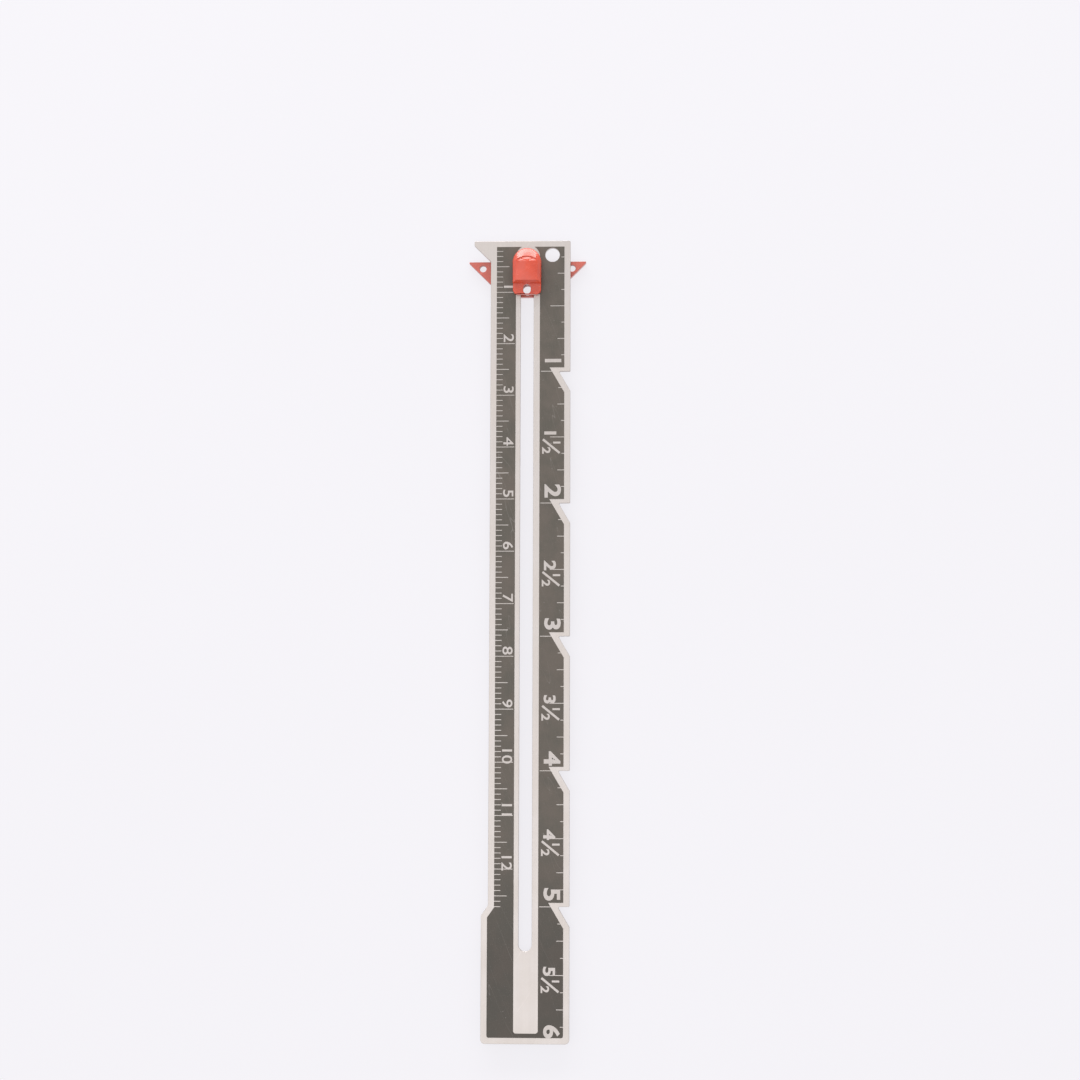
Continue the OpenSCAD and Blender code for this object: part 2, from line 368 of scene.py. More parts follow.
def round_bar(name, low, high, radius, which=lambda spot: True, steps=12):
    """A block whose upright edges are rounded, or only those whose spot passes the test."""
    piece = block(name, low, high)
    open_mesh(piece, "EDGE")
    pick(piece, "EDGE", lambda edge: upright(edge) and which(edge.verts[0].co))
    bpy.ops.mesh.bevel(offset=radius, segments=steps, affect="EDGES", clamp_overlap=True)
    bpy.ops.mesh.select_all(action="SELECT")
    bpy.ops.mesh.remove_doubles(threshold=HAIR)
    close_mesh()
    return piece


def rod(name, radius, low_z, high_z, x, y, sides=48):
    """An upright round rod, used as a peg or to bore a hole."""
    only()
    bpy.ops.mesh.primitive_cylinder_add(
        vertices=sides, radius=radius, depth=high_z - low_z, location=(x, y, (low_z + high_z) / 2))
    piece = bpy.context.object
    piece.name = piece.data.name = name
    settle(piece)
    return piece


def combine(piece, other, how):
    """Cuts the other piece away or joins it on, and takes the other piece off the bench."""
    only(piece)
    bpy.ops.object.modifier_add(type="BOOLEAN")
    step = piece.modifiers[-1]
    step.operation = how
    step.solver = "EXACT"
    step.object = other
    bpy.ops.object.modifier_apply(modifier=step.name)
    only(other)
    bpy.ops.object.delete()


def round_edges(piece, width, steps=2, angle=30.0):
    """Rounds every edge that turns by more than the angle."""
    only(piece)
    bpy.ops.object.modifier_add(type="BEVEL")
    step = piece.modifiers[-1]
    step.width = width
    step.segments = steps
    step.limit_method = "ANGLE"
    step.angle_limit = math.radians(angle)
    step.use_clamp_overlap = False
    bpy.ops.object.modifier_apply(modifier=step.name)


def tidy_mesh(piece, angle=0.5):
    """Merges doubled corners, joins flat neighbours, closes pinholes and turns faces outwards."""
    open_mesh(piece, "VERT")
    bpy.ops.mesh.select_all(action="SELECT")
    bpy.ops.mesh.remove_doubles(threshold=HAIR)
    bpy.ops.mesh.dissolve_limited(angle_limit=math.radians(angle))
    bpy.ops.mesh.fill_holes(sides=4)
    bpy.ops.mesh.normals_make_consistent(inside=False)
    close_mesh()


def smooth(piece, angle=40.0):
    """Smooth shading that keeps flat faces flat and sharp edges sharp."""
    only(piece)
    bpy.ops.object.shade_smooth_by_angle(angle=math.radians(angle))
    bpy.ops.object.modifier_add(type="WEIGHTED_NORMAL")
    step = piece.modifiers[-1]
    step.weight = 80
    step.keep_sharp = True
    bpy.ops.object.modifier_apply(modifier=step.name)


def finish_piece(piece, material, body, slot, *nodes):
    """Gives a finished piece its material and the body it rides on, and hides the CAD nodes it
    stands for.
    """
    piece.data.materials.clear()
    piece.data.materials.append(material)
    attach(piece, body)
    if nodes:
        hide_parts(*nodes)


# Shared effects

def start_group(name, inputs, outputs):
    """A new node group: each input is (label, kind, start value), each output (label, kind)."""
    group = bpy.data.node_groups.new(name, "ShaderNodeTree")
    for label, kind, value in inputs:
        socket = group.interface.new_socket(label, in_out="INPUT", socket_type=kind)
        if value is not None:
            socket.default_value = value
    for label, kind in outputs:
        group.interface.new_socket(label, in_out="OUTPUT", socket_type=kind)
    return group, group.nodes.new("NodeGroupInput"), group.nodes.new("NodeGroupOutput")


def drawn_grain():
    """Fine straight grain, drawn out along Y."""
    found = bpy.data.node_groups.get("Drawn grain")
    if found:
        return found
    group, given, out = start_group(
        "Drawn grain",
        [("Vector", "NodeSocketVector", None), ("Across", "NodeSocketFloat", 7000.0),
         ("Along", "NodeSocketFloat", 80.0), ("Contrast", "NodeSocketFloat", 1.0)],
        [("Tone", "NodeSocketFloat"), ("Height", "NodeSocketFloat")])
    nodes, links = group.nodes, group.links
    stretch = nodes.new("ShaderNodeCombineXYZ")
    scaled = nodes.new("ShaderNodeVectorMath")
    scaled.operation = "MULTIPLY"
    noise = nodes.new("ShaderNodeTexNoise")
    noise.inputs["Scale"].default_value = 1.0
    noise.inputs["Detail"].default_value = 4.0
    noise.inputs["Roughness"].default_value = 0.65
    centred = nodes.new("ShaderNodeMath")
    centred.operation = "SUBTRACT"
    centred.inputs[1].default_value = 0.5
    spread = nodes.new("ShaderNodeMath")
    spread.operation = "MULTIPLY_ADD"
    spread.inputs[2].default_value = 0.5
    spread.use_clamp = True
    links.new(given.outputs["Across"], stretch.inputs["X"])
    links.new(given.outputs["Along"], stretch.inputs["Y"])
    links.new(given.outputs["Across"], stretch.inputs["Z"])
    links.new(given.outputs["Vector"], scaled.inputs[0])
    links.new(stretch.outputs["Vector"], scaled.inputs[1])
    links.new(scaled.outputs["Vector"], noise.inputs["Vector"])
    links.new(noise.outputs["Fac"], centred.inputs[0])
    links.new(centred.outputs["Value"], spread.inputs[0])
    links.new(given.outputs["Contrast"], spread.inputs[1])
    links.new(spread.outputs["Value"], out.inputs["Tone"])
    links.new(noise.outputs["Fac"], out.inputs["Height"])
    return group


def soft_mottle():
    """Slow, cloudy change of tone."""
    found = bpy.data.node_groups.get("Soft mottle")
    if found:
        return found
    group, given, out = start_group(
        "Soft mottle",
        [("Vector", "NodeSocketVector", None), ("Scale", "NodeSocketFloat", 200.0)],
        [("Tone", "NodeSocketFloat")])
    nodes, links = group.nodes, group.links
    noise = nodes.new("ShaderNodeTexNoise")
    noise.inputs["Detail"].default_value = 3.0
    noise.inputs["Roughness"].default_value = 0.55
    spread = nodes.new("ShaderNodeMapRange")
    spread.interpolation_type = "SMOOTHSTEP"
    spread.inputs["From Min"].default_value = 0.3
    spread.inputs["From Max"].default_value = 0.7
    links.new(given.outputs["Vector"], noise.inputs["Vector"])
    links.new(given.outputs["Scale"], noise.inputs["Scale"])
    links.new(noise.outputs["Fac"], spread.inputs["Value"])
    links.new(spread.outputs["Result"], out.inputs["Tone"])
    return group


def fine_speckle():
    """Scattered fine specks, more of them as the cover rises."""
    found = bpy.data.node_groups.get("Fine speckle")
    if found:
        return found
    group, given, out = start_group(
        "Fine speckle",
        [("Vector", "NodeSocketVector", None), ("Scale", "NodeSocketFloat", 6000.0),
         ("Cover", "NodeSocketFloat", 0.35)],
        [("Mask", "NodeSocketFloat")])
    nodes, links = group.nodes, group.links
    noise = nodes.new("ShaderNodeTexNoise")
    noise.inputs["Detail"].default_value = 2.0
    noise.inputs["Roughness"].default_value = 0.5
    start = nodes.new("ShaderNodeMath")
    start.operation = "SUBTRACT"
    start.inputs[0].default_value = 1.0
    end = nodes.new("ShaderNodeMath")
    end.operation = "ADD"
    end.inputs[1].default_value = 0.12
    spread = nodes.new("ShaderNodeMapRange")
    spread.interpolation_type = "SMOOTHSTEP"
    links.new(given.outputs["Vector"], noise.inputs["Vector"])
    links.new(given.outputs["Scale"], noise.inputs["Scale"])
    links.new(given.outputs["Cover"], start.inputs[1])
    links.new(start.outputs["Value"], end.inputs[0])
    links.new(noise.outputs["Fac"], spread.inputs["Value"])
    links.new(start.outputs["Value"], spread.inputs["From Min"])
    links.new(end.outputs["Value"], spread.inputs["From Max"])
    links.new(spread.outputs["Result"], out.inputs["Mask"])
    return group


def hairlines():
    """Thin wandering scratches that lie at an angle to the grain."""
    found = bpy.data.node_groups.get("Hairlines")
    if found:
        return found
    group, given, out = start_group(
        "Hairlines",
        [("Vector", "NodeSocketVector", None), ("Turn", "NodeSocketFloat", 0.5),
         ("Across", "NodeSocketFloat", 900.0), ("Along", "NodeSocketFloat", 60.0),
         ("Width", "NodeSocketFloat", 0.006)],
        [("Mask", "NodeSocketFloat")])
    nodes, links = group.nodes, group.links
    turned = nodes.new("ShaderNodeVectorRotate")
    turned.rotation_type = "Z_AXIS"
    stretch = nodes.new("ShaderNodeCombineXYZ")
    scaled = nodes.new("ShaderNodeVectorMath")
    scaled.operation = "MULTIPLY"
    noise = nodes.new("ShaderNodeTexNoise")
    noise.inputs["Scale"].default_value = 1.0
    noise.inputs["Detail"].default_value = 1.0
    off_line = nodes.new("ShaderNodeMath")
    off_line.operation = "SUBTRACT"
    off_line.inputs[1].default_value = 0.5
    distance = nodes.new("ShaderNodeMath")
    distance.operation = "ABSOLUTE"
    line = nodes.new("ShaderNodeMapRange")
    line.inputs["From Min"].default_value = 0.0
    line.inputs["To Min"].default_value = 1.0
    line.inputs["To Max"].default_value = 0.0
    links.new(given.outputs["Vector"], turned.inputs["Vector"])
    links.new(given.outputs["Turn"], turned.inputs["Angle"])
    links.new(given.outputs["Across"], stretch.inputs["X"])
    links.new(given.outputs["Along"], stretch.inputs["Y"])
    links.new(given.outputs["Across"], stretch.inputs["Z"])
    links.new(turned.outputs["Vector"], scaled.inputs[0])
    links.new(stretch.outputs["Vector"], scaled.inputs[1])
    links.new(scaled.outputs["Vector"], noise.inputs["Vector"])
    links.new(noise.outputs["Fac"], off_line.inputs[0])
    links.new(off_line.outputs["Value"], distance.inputs[0])
    links.new(distance.outputs["Value"], line.inputs["Value"])
    links.new(given.outputs["Width"], line.inputs["From Max"])
    links.new(line.outputs["Result"], out.inputs["Mask"])
    return group


# Materials

def new_material(name):
    """A node material, its shader and the piece's own coordinates."""
    material = bpy.data.materials.new(name)
    material.use_nodes = True
    nodes = material.node_tree.nodes
    nodes.clear()
    shader = nodes.new("ShaderNodeBsdfPrincipled")
    output = nodes.new("ShaderNodeOutputMaterial")
    material.node_tree.links.new(shader.outputs["BSDF"], output.inputs["Surface"])
    place = nodes.new("ShaderNodeTexCoord").outputs["Object"]
    return material, nodes, material.node_tree.links, shader, place


def effect(nodes, links, group, place, **values):
    """Places a shared effect in a material, with its own values."""
    node = nodes.new("ShaderNodeGroup")
    node.node_tree = group
    links.new(place, node.inputs["Vector"])
    for label, value in values.items():
        node.inputs[label].default_value = value
    return node


def blend_colour(nodes, links, amount, first, second):
    """Mixes two colours; each is a colour or an output, and the amount a number or an output."""
    node = nodes.new("ShaderNodeMix")
    node.data_type = "RGBA"
    for socket, value in ((node.inputs["Factor"], amount), (node.inputs[FIRST_COLOUR], first),
                          (node.inputs[SECOND_COLOUR], second)):
        if isinstance(value, bpy.types.NodeSocket):
            links.new(value, socket)
        elif isinstance(value, (int, float)):
            socket.default_value = value
        else:
            socket.default_value = (*value[:3], 1.0)
    return node.outputs[MIXED_COLOUR]


def rescale(nodes, links, value, low, high):
    """Maps a tone from 0 to 1 onto a range."""
    node = nodes.new("ShaderNodeMapRange")
    node.inputs["To Min"].default_value = low
    node.inputs["To Max"].default_value = high
    links.new(value, node.inputs["Value"])
    return node.outputs["Result"]


def lay_over(nodes, links, base, tone, share, colour):
    """Lays a colour over the base where the tone is high, up to a share."""
    return blend_colour(nodes, links, rescale(nodes, links, tone, 0.0, share), base, colour)


def add_up(nodes, links, first, second, share):
    """The first value plus a share of the second."""
    node = nodes.new("ShaderNodeMath")
    node.operation = "MULTIPLY_ADD"
    links.new(second, node.inputs[0])
    node.inputs[1].default_value = share
    links.new(first, node.inputs[2])
    return node.outputs["Value"]


def toward_tail(nodes, links, place, start, full, share):
    """Grows from 0 to a share along the blade, between two places on the way to its tail."""
    axes = nodes.new("ShaderNodeSeparateXYZ")
    links.new(place, axes.inputs["Vector"])
    node = nodes.new("ShaderNodeMapRange")
    node.inputs["From Min"].default_value = start
    node.inputs["From Max"].default_value = full
    node.inputs["To Max"].default_value = share
    links.new(axes.outputs["Y"], node.inputs["Value"])
    return node.outputs["Result"]


def bump(nodes, links, shader, height, distance, strength):
    """Turns a height into a bump on the shader."""
    node = nodes.new("ShaderNodeBump")
    node.inputs["Distance"].default_value = distance
    node.inputs["Strength"].default_value = strength
    links.new(height, node.inputs["Height"])
    links.new(node.outputs["Normal"], shader.inputs["Normal"])


def toned(colour, *factors):
    """The colour made lighter or darker, by one factor or by one each for red, green and blue."""
    if len(factors) == 1:
        factors *= 3
    return tuple(channel * factor for channel, factor in zip(colour, factors))


def brushed_metal(name, colour, across=7000.0, along=90.0):
    """Bare aluminium, brushed along the blade, with faint marks from use."""
    material, nodes, links, shader, place = new_material(name)
    grain = effect(nodes, links, drawn_grain(), place, Across=across, Along=along, Contrast=2.2)
    broad = effect(nodes, links, drawn_grain(), place,
                   Across=across / 9, Along=along / 4, Contrast=1.8)
    cloud = effect(nodes, links, soft_mottle(), place, Scale=140.0)
    specks = effect(nodes, links, fine_speckle(), place, Scale=5200.0, Cover=0.34)
    marks = effect(nodes, links, hairlines(), place,
                   Turn=0.6, Across=700.0, Along=45.0, Width=0.004)
    fine = blend_colour(nodes, links, grain.outputs["Tone"],
                        toned(colour, 0.88), toned(colour, 1.1))
    streaks = blend_colour(nodes, links, broad.outputs["Tone"],
                           toned(colour, 0.9), toned(colour, 1.08))
    base = blend_colour(nodes, links, 0.45, fine, streaks)
    warm = toned(colour, 0.97, 0.95, 0.91)
    base = lay_over(nodes, links, base, cloud.outputs["Tone"], 0.45, warm)
    base = lay_over(nodes, links, base, specks.outputs["Mask"], 0.3, toned(colour, 0.55))
    base = lay_over(nodes, links, base, marks.outputs["Mask"], 0.35, toned(colour, 1.2))
    links.new(base, shader.inputs["Base Color"])
    shader.inputs["Metallic"].default_value = 1.0
    gloss = add_up(nodes, links, rescale(nodes, links, grain.outputs["Tone"], 0.34, 0.48),
                   cloud.outputs["Tone"], 0.05)
    links.new(gloss, shader.inputs["Roughness"])
    relief = add_up(nodes, links, grain.outputs["Height"], marks.outputs["Mask"], -0.6)
    bump(nodes, links, shader, relief, 0.000006, 0.35)
    return material


def printed_ink(name, colour, metal):
    """Charcoal ink on metal: satin, patchy, with metal specks, faint grain, and painted shade that
    darkens it toward the tail.
    """
    material, nodes, links, shader, place = new_material(name)
    grain = effect(nodes, links, drawn_grain(), place, Across=5200.0, Along=240.0, Contrast=1.6)
    cloud = effect(nodes, links, soft_mottle(), place, Scale=230.0)
    pores = effect(nodes, links, fine_speckle(), place, Scale=7600.0, Cover=0.36)
    wear = effect(nodes, links, fine_speckle(), place, Scale=2400.0, Cover=0.27)
    marks = effect(nodes, links, hairlines(), place,
                   Turn=-0.35, Across=520.0, Along=38.0, Width=0.003)
    base = blend_colour(nodes, links, cloud.outputs["Tone"],
                        toned(colour, 0.8, 0.84, 0.81), toned(colour, 1.2, 1.15, 1.15))
    base = lay_over(nodes, links, base, grain.outputs["Tone"], 0.4, toned(colour, 1.35))
    # Painted shade: the ink is darkened along the blade toward its tail, standing in for how the
    # light falls there
    base = blend_colour(nodes, links, toward_tail(nodes, links, place, -0.038, -0.06, 0.4),
                        base, toned(colour, 0.15))
    base = lay_over(nodes, links, base, pores.outputs["Mask"], 0.35, toned(metal, 0.55))
    base = lay_over(nodes, links, base, wear.outputs["Mask"], 0.5, toned(metal, 0.7))
    base = lay_over(nodes, links, base, marks.outputs["Mask"], 0.22, toned(metal, 0.7))
    links.new(base, shader.inputs["Base Color"])
    gloss = add_up(nodes, links, rescale(nodes, links, cloud.outputs["Tone"], 0.42, 0.54),
                   grain.outputs["Tone"], 0.06)
    links.new(gloss, shader.inputs["Roughness"])
    relief = add_up(nodes, links, pores.outputs["Mask"], grain.outputs["Height"], 0.6)
    bump(nodes, links, shader, relief, 0.000004, 0.4)
    return material


def moulded_plastic(name, colour):
    """Glossy moulded plastic with a faint orange peel, flow streaks and light handling marks."""
    material, nodes, links, shader, place = new_material(name)
    cloud = effect(nodes, links, soft_mottle(), place, Scale=420.0)
    flow = effect(nodes, links, drawn_grain(), place, Across=1500.0, Along=260.0, Contrast=1.5)
    peel = effect(nodes, links, soft_mottle(), place, Scale=4200.0)
    dust = effect(nodes, links, fine_speckle(), place, Scale=6800.0, Cover=0.3)
    marks = effect(nodes, links, hairlines(), place,
                   Turn=1.1, Across=900.0, Along=90.0, Width=0.004)
    pale_dust = (0.75, 0.6, 0.56)
    pale_scratch = (0.85, 0.5, 0.45)
    base = blend_colour(nodes, links, cloud.outputs["Tone"],
                        toned(colour, 0.9), toned(colour, 1.06, 1.2, 1.25))
    base = lay_over(nodes, links, base, flow.outputs["Tone"], 0.35,
                    toned(colour, 0.98, 1.35, 1.1))
    base = lay_over(nodes, links, base, dust.outputs["Mask"], 0.14, pale_dust)
    base = lay_over(nodes, links, base, marks.outputs["Mask"], 0.12, pale_scratch)
    links.new(base, shader.inputs["Base Color"])
    gloss = add_up(nodes, links, rescale(nodes, links, peel.outputs["Tone"], 0.17, 0.23),
                   cloud.outputs["Tone"], 0.06)
    links.new(gloss, shader.inputs["Roughness"])
    shader.inputs["Specular IOR Level"].default_value = 0.8
    relief = add_up(nodes, links, peel.outputs["Tone"], marks.outputs["Mask"], -0.8)
    bump(nodes, links, shader, relief, 0.000004, 0.3)
    return material


# Pieces

class GAUGE_OT_blade(Operator):
    """Stamped blade, with the edges rounded as stamping leaves them"""
    bl_idname = "gauge.blade"
    bl_label = "Blade"

    def execute(self, context):
        gauge = context.scene.sewing_gauge
        only(frame["nodes"]["blade"])
        bpy.ops.object.duplicate()
        piece = context.object
        bpy.ops.object.parent_clear(type="CLEAR_KEEP_TRANSFORM")
        # The copy carries the CAD node's marks, which the finished piece doesn't have
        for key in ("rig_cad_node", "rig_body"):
            del piece[key]
        piece.name = piece.data.name = "gauge_blade"
        tidy_mesh(piece)
        round_edges(piece, gauge.blade.edge_round)
        smooth(piece)
        finish_piece(piece, brushed_metal("Brushed aluminium", gauge.finishes.metal),
                     "gauge", "blade_metal", "blade")
        return {"FINISHED"}


class GAUGE_OT_print(Operator):
    """Printed coat of the centimetre and inch scales"""
    bl_idname = "gauge.print"
    bl_label = "Printed scales"

    def execute(self, context):
        finishes = context.scene.sewing_gauge.finishes
        ink = printed_ink("Printed coat", finishes.ink, finishes.metal)
        for node in ("cm_scale", "inch_scale"):
            coat = frame["nodes"][node]
            coat.data.materials.clear()
            coat.data.materials.append(ink)
        return {"FINISHED"}


def raised_body(sizes, base_z):
    """The grip's raised body, a bullet seen from above, with a sloping border and a low crown."""
    radius = GRIP[1].x
    middle_y = GRIP[1].y - radius
    end_y = GRIP[1].y - sizes.body_length
    skirt_top = GRIP[1].z - sizes.crown_rise - sizes.bevel_height

    # The skirt: half a round rod, drawn out straight to the lower end
    piece = rod("raised_body", radius, base_z, skirt_top, 0, middle_y, sides=96)
    open_mesh(piece)
    bpy.ops.mesh.select_all(action="SELECT")
    bpy.ops.mesh.bisect(plane_co=(0, middle_y, 0), plane_no=(0, -1, 0),
                        use_fill=True, clear_outer=True)
    pick(piece, "FACE", lambda face: face.normal.y < -SQUARE)
    bpy.ops.mesh.extrude_region_move(TRANSFORM_OT_translate={"value": (0, end_y - middle_y, 0)})
    for side in (-1, 1):
        pick(piece, "FACE", lambda face: face.normal.z * side > SQUARE)
        bpy.ops.mesh.dissolve_faces()

    # The sloping border, and inside it the crown in rings
    pick(piece, "FACE", lambda face: face.normal.z > SQUARE)
    bpy.ops.mesh.inset(thickness=sizes.bevel_width, depth=0)
    bpy.ops.transform.translate(value=(0, 0, sizes.bevel_height))
    half = radius - sizes.bevel_width
    for outer, inner in zip(CROWN_RINGS, CROWN_RINGS[1:]):
        bpy.ops.mesh.inset(thickness=half * (outer - inner), depth=0)
        rise = sizes.crown_rise * (outer ** 2 - inner ** 2)
        bpy.ops.transform.translate(value=(0, 0, rise))

    # The crease, deepest at the tip of the round end and gone at the sides
    for ring, share in zip(CROWN_RINGS[1:], CREASE_SHARES):
        ring_radius = half * ring
        layer = sizes.crease_depth * share / len(CREASE_STARTS)
        for start in CREASE_STARTS:
            pick(piece, "VERT", lambda corner: corner.co.z > skirt_top
                 and corner.co.y - middle_y > ring_radius * start
                 and near(math.hypot(corner.co.x, corner.co.y - middle_y), ring_radius, 1e-5))
            bpy.ops.transform.translate(value=(0, 0, -layer))

    # The top drawn in at the round end, and a little out over the tab
    for side, reach in ((1, sizes.end_reach), (-1, sizes.low_reach)):
        pick(piece, "VERT", lambda corner: corner.co.z > skirt_top + sizes.bevel_height / 2
             and (corner.co.y - middle_y) * side > HAIR)
        bpy.ops.transform.resize(value=(1, reach, 1), center_override=(0, middle_y, 0))

    # The rounded edges
    pick(piece, "EDGE", lambda edge: all(near(corner.co.z, skirt_top) for corner in edge.verts))
    bpy.ops.mesh.bevel(offset=SKIRT_ROUND, segments=5, affect="EDGES")
    pick(piece, "EDGE", lambda edge: upright(edge) and near(edge.verts[0].co.y, end_y, 2e-5))
    bpy.ops.mesh.bevel(offset=BODY_CORNER_ROUND, segments=4, affect="EDGES")
    close_mesh()
    return piece


class GAUGE_OT_grip(Operator):
    """Moulded grip in front of the blade: raised body, tab with its sight hole, key and pegs"""
    bl_idname = "gauge.grip"
    bl_label = "Slider grip"

    def execute(self, context):
        gauge = context.scene.sewing_gauge
        sizes = gauge.grip
        half = GRIP[1].x
        base_z = sizes.base_height
        low_y = GRIP[0].y
        end_y = GRIP[1].y - sizes.body_length
        piece = raised_body(sizes, base_z)

        tab_half = half - sizes.tab_inset
        tab = round_bar("tab", (-tab_half, low_y, base_z + sizes.tab_inset),
                        (tab_half, end_y + PAST, base_z + sizes.tab_thickness),
                        sizes.tab_corner, lambda spot: spot.y < end_y)
        sight_x = sizes.sight_width / 2
        sight_y = (low_y + end_y) / 2
        sight = round_bar("sight", (-sight_x, sight_y - sizes.sight_length / 2, base_z - PAST),
                          (sight_x, sight_y + sizes.sight_length / 2, base_z + 2 * PAST),
                          sight_x - HAIR)
        combine(tab, sight, "DIFFERENCE")
        round_edges(tab, TAB_ROUND, steps=3)
        combine(piece, tab, "UNION")

        key_x = sizes.key_width / 2
        key_top = GRIP[1].y - sizes.lip
        key = round_bar("key", (-key_x, end_y, PLATE[1].z),
                        (key_x, key_top, base_z + KEY_OVERLAP), key_x - HAIR)
        combine(piece, key, "UNION")
        for peg_y in (PLATE[1].y - sizes.peg, end_y + sizes.peg):
            peg = rod("peg", sizes.peg / 2, GRIP[0].z, base_z, 0, peg_y, sides=32)
            open_mesh(peg)
            pick(peg, "FACE", lambda face: face.normal.z < -SQUARE)
            bpy.ops.mesh.bevel(offset=PEG_ROUND, segments=2, affect="EDGES")
            close_mesh()
            combine(piece, peg, "UNION")

        piece.name = piece.data.name = "slider_grip"
        tidy_mesh(piece, 0.05)
        smooth(piece, 32)
        finish_piece(piece, moulded_plastic("Grip plastic", gauge.finishes.plastic),
                     "slider", "slider_plastic", "slider_knob")
        return {"FINISHED"}


class GAUGE_OT_cross_plate(Operator):
    """Moulded cross plate behind the blade: measuring edge, two wings and its holes"""
    bl_idname = "gauge.cross_plate"
    bl_label = "Slider cross plate"

    def execute(self, context):
        gauge = context.scene.sewing_gauge
        sizes = gauge.plate
        grip = gauge.grip
        low, high = PLATE
        piece = block("slider_cross_plate", low, high)
        open_mesh(piece)
        for side in (-1, 1):
            bpy.ops.mesh.select_all(action="SELECT")
            bpy.ops.mesh.bisect(plane_co=(side * high.x, high.y - sizes.tip_blunt, 0),
                                plane_no=(side, -1, 0), use_fill=True, clear_outer=True)
        close_mesh()
        end_y = GRIP[1].y - grip.body_length
        holes = [(side * (high.x - sizes.pin_in), high.y - sizes.pin_drop, sizes.pin_hole)
                 for side in (-1, 1)]
        holes.append((0, end_y - sizes.pivot_hole / 2, sizes.pivot_hole))
        holes += [(0, peg_y, grip.peg + PEG_ROOM)
                  for peg_y in (high.y - grip.peg, end_y + grip.peg)]
        for x, y, across in holes:
            bore = rod("bore", across / 2, low.z - PAST, high.z + PAST, x, y)
            combine(piece, bore, "DIFFERENCE")
        round_edges(piece, sizes.edge_round, steps=3)
        tidy_mesh(piece, 0.05)
        smooth(piece)
        finish_piece(piece, moulded_plastic("Cross plate plastic", gauge.finishes.plate_plastic),
                     "slider", "slider_plastic", "slider_plate")
        return {"FINISHED"}


def number(text, height, x, s, sizes, weight):
    """A number that reads down the blade: tops toward +X, middle at s below the zero end."""
    only()
    bpy.ops.object.text_add(location=(0, 0, 0))
    piece = bpy.context.object
    piece.data.body = text
    piece.data.offset = weight
    piece.data.extrude = 0.5
    piece.data.resolution_u = 5
    bpy.ops.object.convert(target="MESH")
    piece = bpy.context.object
    corners = [corner.co for corner in piece.data.vertices]
    low = Vector([min(c[axis] for c in corners) for axis in range(3)])
    high = Vector([max(c[axis] for c in corners) for axis in range(3)])
    scale = height / (high.y - low.y)
    depth = 2 * sizes.lift
    piece.location = -(low + high) / 2
    settle(piece)
    piece.scale = (scale * sizes.breadth, scale, depth)
    piece.rotation_euler = (0, 0, -math.pi / 2)
    piece.location = (x, ZERO_Y - s, PRINT[1].z)
    settle(piece)
    return piece


def bar(x0, s0, x1, s1, width, sizes):
    """A straight stroke between two places on the print."""
    start, end = Vector((x0, ZERO_Y - s0)), Vector((x1, ZERO_Y - s1))
    run = end - start
    piece = block("stroke", (-run.length / 2, -width / 2, -sizes.lift),
                  (run.length / 2, width / 2, sizes.lift))
    piece.rotation_euler = (0, 0, math.atan2(run.y, run.x))
    piece.location = (*((start + end) / 2), PRINT[1].z)
    settle(piece)
    return piece


def join_numbers(pieces, name, material):
    """Joins the numbers of one scale into one piece."""
    only(pieces[0])
    for piece in pieces[1:]:
        piece.select_set(True)
    bpy.ops.object.join()
    whole = bpy.context.object
    whole.name = whole.data.name = name
    tidy_mesh(whole, 0.2)
    finish_piece(whole, material, "gauge", "blade_metal")


class GAUGE_OT_numbers(Operator):
    """Numbers left bare in the print: centimetres, inches and half inches"""
    bl_idname = "gauge.numbers"
    bl_label = "Numbers"

    def execute(self, context):
        gauge = context.scene.sewing_gauge
        sizes = gauge.numbers
        bare = brushed_metal("Bare number metal", toned(gauge.finishes.metal, 0.88),
                             across=5200.0, along=160.0)
        join_numbers([number(str(n), sizes.cm_height, CM_COLUMN, CENTIMETRE * n - CM_RISE,
                             sizes, sizes.cm_weight) for n in range(1, 13)],
                     "cm_numbers", bare)

        # The first inch's number is finer and sits a little closer to its line
        inches = [number("1", sizes.inch_height, INCH_COLUMN, INCH - FIRST_INCH_RISE,
                         sizes, sizes.cm_weight)]
        inches += [number(str(n), sizes.inch_height, INCH_COLUMN, INCH * n - INCH_RISE,
                          sizes, sizes.weight) for n in range(2, 7)]
        join_numbers(inches, "inch_numbers", bare)

        labels = []
        for n in range(1, 6):
            s = INCH * (n + 0.5)
            for text, height, (x, below) in (
                    (str(n), sizes.half_height, HALF_WHOLE),
                    ("1", sizes.fraction_height * ONE_SHARE, HALF_ONE),
                    ("2", sizes.fraction_height, HALF_TWO)):
                labels.append(number(text, height, x, s + below, sizes, sizes.weight))
            labels.append(bar(STROKE_START[0], s + STROKE_START[1],
                              STROKE_END[0], s + STROKE_END[1], STROKE_WIDTH, sizes))
        join_numbers(labels, "half_inch_numbers", bare)
        return {"FINISHED"}


# Stage

def soft_light(name, power, size, place, target):
    """A soft rectangular light, aimed at a point and not seen in the picture itself."""
    only()
    aim = (Vector(target) - Vector(place)).to_track_quat("-Z", "Y").to_euler()
    bpy.ops.object.light_add(type="AREA", location=place, rotation=aim)
    lamp = bpy.context.object
    lamp.name = lamp.data.name = name
    lamp.data.shape = "RECTANGLE"
    lamp.data.size, lamp.data.size_y = size
    lamp.data.energy = power
    lamp.visible_camera = False


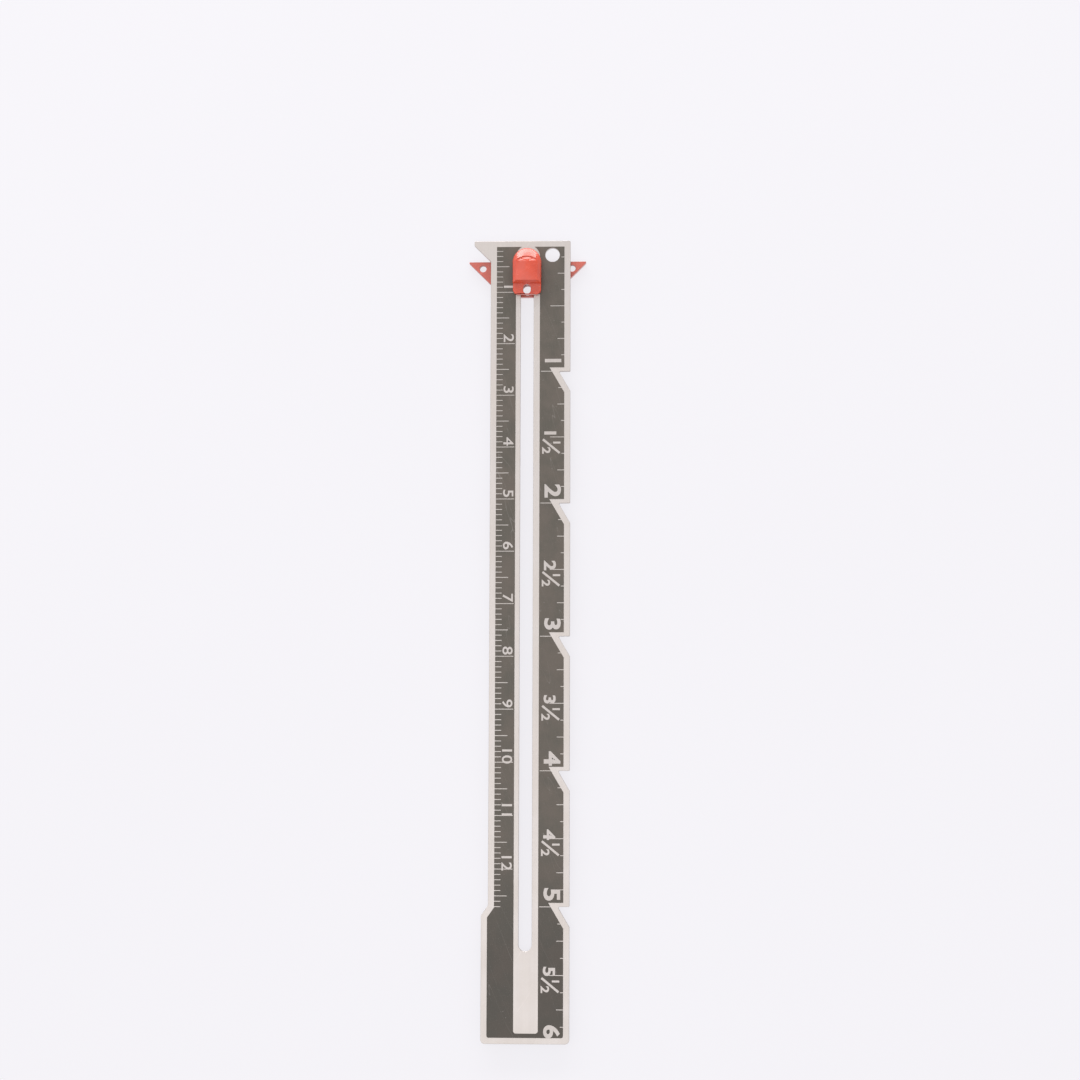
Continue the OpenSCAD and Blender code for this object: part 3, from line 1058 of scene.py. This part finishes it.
class GAUGE_OT_stage(Operator):
    """Pale floor, soft studio light and the camera"""
    bl_idname = "gauge.stage"
    bl_label = "Stage"

    def execute(self, context):
        stage = context.scene.sewing_gauge.stage
        only()
        bpy.ops.mesh.primitive_plane_add(size=4, location=(0, 0, 0))
        floor = context.object
        floor.name = floor.data.name = "floor"
        material, nodes, links, shader, place = new_material("Pale floor")
        cloud = effect(nodes, links, soft_mottle(), place, Scale=9.0)
        base = blend_colour(nodes, links, cloud.outputs["Tone"],
                            toned(stage.floor, 0.995), stage.floor)
        links.new(base, shader.inputs["Base Color"])
        shader.inputs["Roughness"].default_value = 0.9
        shader.inputs["Specular IOR Level"].default_value = 0.2
        links.new(base, shader.inputs["Emission Color"])
        shader.inputs["Emission Strength"].default_value = stage.under_light / stage.floor[0]
        floor.data.materials.append(material)

        world = bpy.data.worlds.new("Light tent")
        world.use_nodes = True
        sky = next(node for node in world.node_tree.nodes if node.type == "BACKGROUND")
        sky.inputs["Color"].default_value = (1.0, 0.985, 0.985, 1.0)
        sky.inputs["Strength"].default_value = stage.sky
        context.scene.world = world
        context.scene.view_settings.view_transform = "Standard"

        soft_light("overhead_light", stage.overhead, *OVERHEAD_LIGHT)
        soft_light("low_strip_light", stage.strip, *STRIP_LIGHT)

        bpy.ops.object.camera_add(location=CAMERA_PLACE)
        camera = context.object
        camera.name = camera.data.name = "photo_camera"
        camera.rotation_mode = "ZYX"
        camera.rotation_euler = CAMERA_TURN
        camera.data.sensor_width = SENSOR_WIDTH
        camera.data.lens = stage.lens
        camera.data.clip_start = 0.01
        context.scene.camera = camera
        return {"FINISHED"}


class GAUGE_PT_panel(Panel):
    """Builds the gauge piece by piece"""
    bl_idname = "GAUGE_PT_panel"
    bl_label = "Sewing gauge"
    bl_space_type = "VIEW_3D"
    bl_region_type = "UI"
    bl_category = "Sewing gauge"

    def draw(self, context):
        gauge = context.scene.sewing_gauge
        for title, group, steps in (
                ("Finishes", gauge.finishes, ()),
                ("Blade", gauge.blade, ("gauge.blade", "gauge.print")),
                ("Slider grip", gauge.grip, ("gauge.grip",)),
                ("Cross plate", gauge.plate, ("gauge.cross_plate",)),
                ("Numbers", gauge.numbers, ("gauge.numbers",)),
                ("Stage", gauge.stage, ("gauge.stage",))):
            box = self.layout.box()
            box.label(text=title)
            for key in group.__annotations__:
                box.prop(group, key)
            for step in steps:
                box.operator(step)


CLASSES = (BladeSizes, GripSizes, PlateSizes, NumberSizes, Finishes, StageSettings, SewingGauge,
           GAUGE_OT_blade, GAUGE_OT_print, GAUGE_OT_grip, GAUGE_OT_cross_plate, GAUGE_OT_numbers,
           GAUGE_OT_stage, GAUGE_PT_panel)


def register():
    for kind in CLASSES:
        bpy.utils.register_class(kind)
    bpy.types.Scene.sewing_gauge = PointerProperty(type=SewingGauge)


def unregister():
    del bpy.types.Scene.sewing_gauge
    for kind in reversed(CLASSES):
        bpy.utils.unregister_class(kind)


def main():
    """Builds the stage and every piece."""
    register()
    bpy.ops.gauge.stage()
    bpy.ops.gauge.blade()
    bpy.ops.gauge.print()
    bpy.ops.gauge.cross_plate()
    bpy.ops.gauge.grip()
    bpy.ops.gauge.numbers()


if __name__ == "__main__":
    main()
